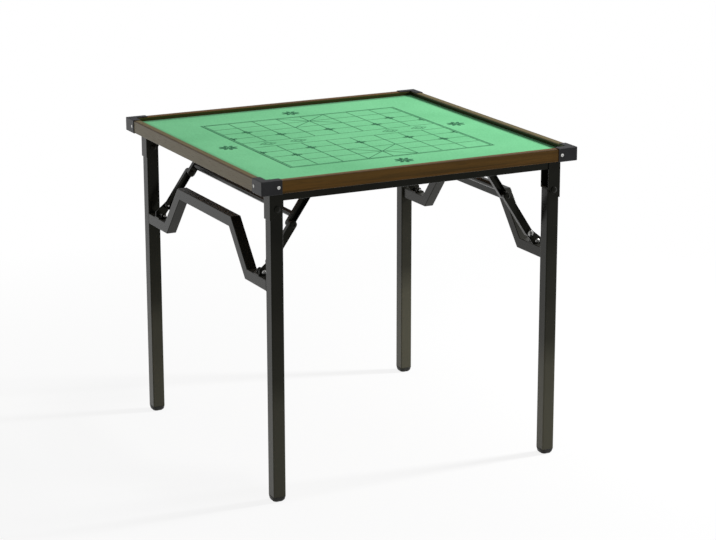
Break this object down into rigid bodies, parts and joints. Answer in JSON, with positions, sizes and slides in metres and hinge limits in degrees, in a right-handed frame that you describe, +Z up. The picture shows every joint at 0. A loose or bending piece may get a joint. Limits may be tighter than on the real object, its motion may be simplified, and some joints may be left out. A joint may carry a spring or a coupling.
{
  "type": "folding game table",
  "caption": "Square folding game table: green baize top in a raised wooden rim, two folding leg frames of square tube, and knee braces joined by a pull bar.",
  "frame": {"origin": "on the floor under the centre of the square top", "axes": "+X along the front edge to the right, +Y towards the back, +Z up"},
  "size_m": [0.8034, 0.8034, 0.75],
  "materials": {
    "board_wood": "smooth brown-faced board",
    "felt": "mint green baize with a printed board pattern",
    "rim_wood": "dark brown streaked wood grain, satin",
    "cap_plastic": "black moulded plastic",
    "foot_plastic": "black plastic",
    "screw_steel": "zinc-plated",
    "bolt_steel": "zinc-plated",
    "black_paint": "glossy black powder coat"
  },
  "bodies": {
    "tabletop": {"brace_mount_back_left": "black_paint", "brace_mount_back_right": "black_paint", "brace_mount_front_left": "black_paint", "brace_mount_front_right": "black_paint", "cap_screws": "screw_steel", "corner_cap_back_left": "cap_plastic", "corner_cap_back_right": "cap_plastic", "corner_cap_front_left": "cap_plastic", "corner_cap_front_right": "cap_plastic", "felt_surface": "felt", "mount_bolts_left": "bolt_steel", "mount_bolts_right": "bolt_steel", "mount_screws": "screw_steel", "pivot_bracket_back_left": "black_paint", "pivot_bracket_back_right": "black_paint", "pivot_bracket_front_left": "black_paint", "pivot_bracket_front_right": "black_paint", "pivot_pins_left": "black_paint", "pivot_pins_right": "black_paint", "rail_back": "black_paint", "rail_front": "black_paint", "rail_screws": "screw_steel", "rim_strip_back": "rim_wood", "rim_strip_front": "rim_wood", "rim_strip_left": "rim_wood", "rim_strip_right": "rim_wood", "table_board": "board_wood"},
    "left_leg_frame": {"clamp_bolts_left": "bolt_steel", "crossbar_left": "black_paint", "foot_back_left": "foot_plastic", "foot_front_left": "foot_plastic", "leg_back_left": "black_paint", "leg_front_left": "black_paint", "link_bolts_left": "bolt_steel", "link_bracket_back_left": "black_paint", "link_bracket_front_left": "black_paint"},
    "right_leg_frame": {"clamp_bolts_right": "bolt_steel", "crossbar_right": "black_paint", "foot_back_right": "foot_plastic", "foot_front_right": "foot_plastic", "leg_back_right": "black_paint", "leg_front_right": "black_paint", "link_bolts_right": "bolt_steel", "link_bracket_back_right": "black_paint", "link_bracket_front_right": "black_paint"},
    "left_arms": {"brace_arm_back_left": "black_paint", "brace_arm_front_left": "black_paint", "knee_bolts_left": "black_paint", "pull_bar_left": "black_paint"},
    "right_arms": {"brace_arm_back_right": "black_paint", "brace_arm_front_right": "black_paint", "knee_bolts_right": "black_paint", "pull_bar_right": "black_paint"},
    "left_links": {"brace_link_back_left": "black_paint", "brace_link_front_left": "black_paint", "knee_nuts_left": "black_paint"},
    "right_links": {"brace_link_back_right": "black_paint", "brace_link_front_right": "black_paint", "knee_nuts_right": "black_paint"}
  },
  "joints": [
    {"name": "left_leg_fold", "type": "hinge", "parent": "tabletop", "child": "left_leg_frame", "pos_m": [-0.3525, 0, 0.68], "axis": [0, -1, 0], "range_deg": [0, 90]},
    {"name": "left_arm_swing", "type": "hinge", "parent": "tabletop", "child": "left_arms", "pos_m": [-0.22, 0, 0.705], "axis": [0, -1, 0], "range_deg": [0, 124.94]},
    {"name": "left_link_swing", "type": "hinge", "parent": "left_leg_frame", "child": "left_links", "pos_m": [-0.3345, 0, 0.541], "axis": [0, 1, 0], "range_deg": [0, 140.95]},
    {"name": "right_leg_fold", "type": "hinge", "parent": "tabletop", "child": "right_leg_frame", "pos_m": [0.3525, 0, 0.6485], "axis": [0, 1, 0], "range_deg": [0, 90]},
    {"name": "right_arm_swing", "type": "hinge", "parent": "tabletop", "child": "right_arms", "pos_m": [0.22, 0, 0.705], "axis": [0, 1, 0], "range_deg": [0, 123.21]},
    {"name": "right_link_swing", "type": "hinge", "parent": "right_leg_frame", "child": "right_links", "pos_m": [0.3345, 0, 0.53], "axis": [0, -1, 0], "range_deg": [0, 127.24]}
  ],
  "couplings": [
    {"joint": "left_arm_swing", "follows": "left_leg_fold", "ratio": 1.388},
    {"joint": "left_link_swing", "follows": "left_leg_fold", "ratio": 1.5659},
    {"joint": "right_arm_swing", "follows": "right_leg_fold", "ratio": 1.3688},
    {"joint": "right_link_swing", "follows": "right_leg_fold", "ratio": 1.4136}
  ]
}
